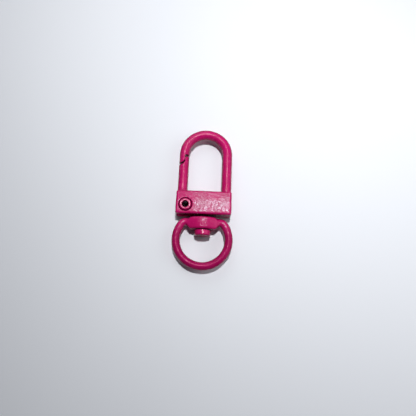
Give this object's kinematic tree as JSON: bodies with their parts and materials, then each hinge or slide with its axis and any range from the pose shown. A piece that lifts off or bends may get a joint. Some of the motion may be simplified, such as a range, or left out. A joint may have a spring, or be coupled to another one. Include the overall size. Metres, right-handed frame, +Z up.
{
  "type": "swivel snap hook",
  "caption": "Small swivel snap hook for keys: a round-bar bow with a sprung gate that opens inwards, a block with a hollow rivet, and a round ring that turns on a button-headed rivet.",
  "frame": {"origin": "bottom centre of the whole part's box, lying on its back with the gate closed", "axes": "+Z up from the surface the part lies on, +Y along its length towards the top of the bow, +X away from the gate"},
  "size_m": [0.0162, 0.0396, 0.0052],
  "materials": {
    "magenta_paint": "thick glossy raspberry-magenta enamel with a fine orange-peel texture, over die-cast zinc",
    "spring_steel": "plain drawn wire"
  },
  "bodies": {
    "hook": {"hook_body": "magenta_paint", "gate_rivet": "magenta_paint", "swivel_rivet": "magenta_paint", "gate_spring": "spring_steel"},
    "gate": {"gate": "magenta_paint"},
    "ring": {"swivel_ring": "magenta_paint"}
  },
  "joints": [
    {"name": "gate_hinge", "type": "hinge", "parent": "hook", "child": "gate", "pos_m": [-0.00487, -0.00266, 0.0025], "axis": [0, 0, -1], "range_deg": [0, 28], "stiffness_Nm_per_rad": 0.02, "springref_deg": -20.05, "deforming": ["gate_spring"]},
    {"name": "ring_swivel", "type": "hinge", "parent": "hook", "child": "ring", "pos_m": [0, -0.007, 0.0025], "axis": [0, 1, 0], "continuous": true}
  ]
}
